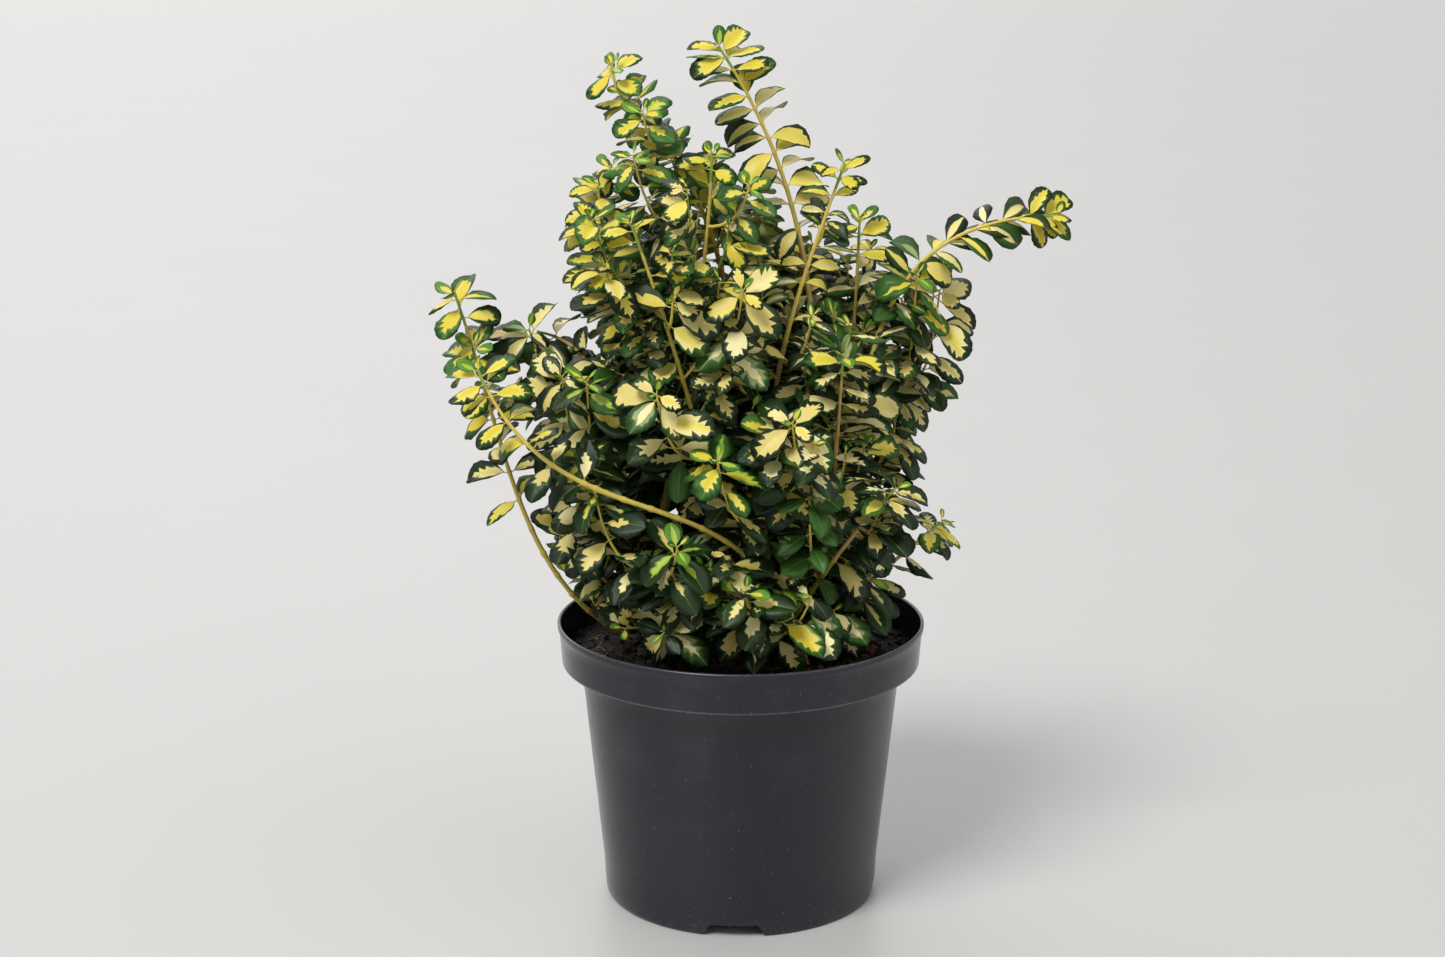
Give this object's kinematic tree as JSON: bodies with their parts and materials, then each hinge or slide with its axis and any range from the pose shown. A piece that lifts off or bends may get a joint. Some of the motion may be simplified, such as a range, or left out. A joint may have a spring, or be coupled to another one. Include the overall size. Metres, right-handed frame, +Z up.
{
  "type": "potted wintercreeper euonymus shrub",
  "caption": "Bushy evergreen shrub with yellow-and-green variegated leaves and arching side shoots, growing from short woody stems in a round black nursery pot with soil.",
  "frame": {"origin": "centre of the pot's flat underside, on the surface that it stands on", "axes": "+Z up along the pot's axis; the front of the plant, as pictured, looks along -Y; +X is to the right of the picture"},
  "size_m": [0.403, 0.3042, 0.536],
  "materials": {
    "pot_plastic": "moulded, soft gloss",
    "potting_soil": "matt, crumbly and fibrous",
    "bark": "smooth young bark, satin",
    "leaves": "leathery, satin"
  },
  "bodies": {
    "root": {"nursery_pot": "pot_plastic", "soil": "potting_soil", "left_stem": "bark", "back_stem": "bark", "right_stem": "bark", "front_stem": "bark", "top_left_bough": "bark", "upper_back_bough": "bark", "back_right_bough": "bark", "back_left_bough": "bark", "low_back_bough": "bark", "upper_front_bough": "bark", "upper_left_bough": "bark", "mid_left_bough": "bark", "lower_left_bough": "bark", "low_left_bough": "bark", "top_centre_bough": "bark", "upper_right_bough": "bark", "right_crown_bough": "bark", "right_side_bough": "bark", "mid_right_bough": "bark", "low_right_bough": "bark", "front_crown_bough": "bark", "mid_front_bough": "bark", "low_front_bough": "bark", "low_front_left_bough": "bark", "left_arch_bough": "bark", "front_arch_bough": "bark", "right_arm_bough": "bark", "right_arch_bough": "bark", "top_left_foliage": "leaves", "upper_back_foliage": "leaves", "back_right_foliage": "leaves", "back_left_foliage": "leaves", "low_back_foliage": "leaves", "upper_front_foliage": "leaves", "upper_left_foliage": "leaves", "mid_left_foliage": "leaves", "lower_left_foliage": "leaves", "low_left_foliage": "leaves", "top_centre_foliage": "leaves", "upper_right_foliage": "leaves", "right_crown_foliage": "leaves", "right_side_foliage": "leaves", "mid_right_foliage": "leaves", "low_right_foliage": "leaves", "front_crown_foliage": "leaves", "mid_front_foliage": "leaves", "low_front_foliage": "leaves", "low_front_left_foliage": "leaves", "left_arch_foliage": "leaves", "front_arch_foliage": "leaves", "right_arm_foliage": "leaves", "right_arch_foliage": "leaves"}
  },
  "joints": []
}
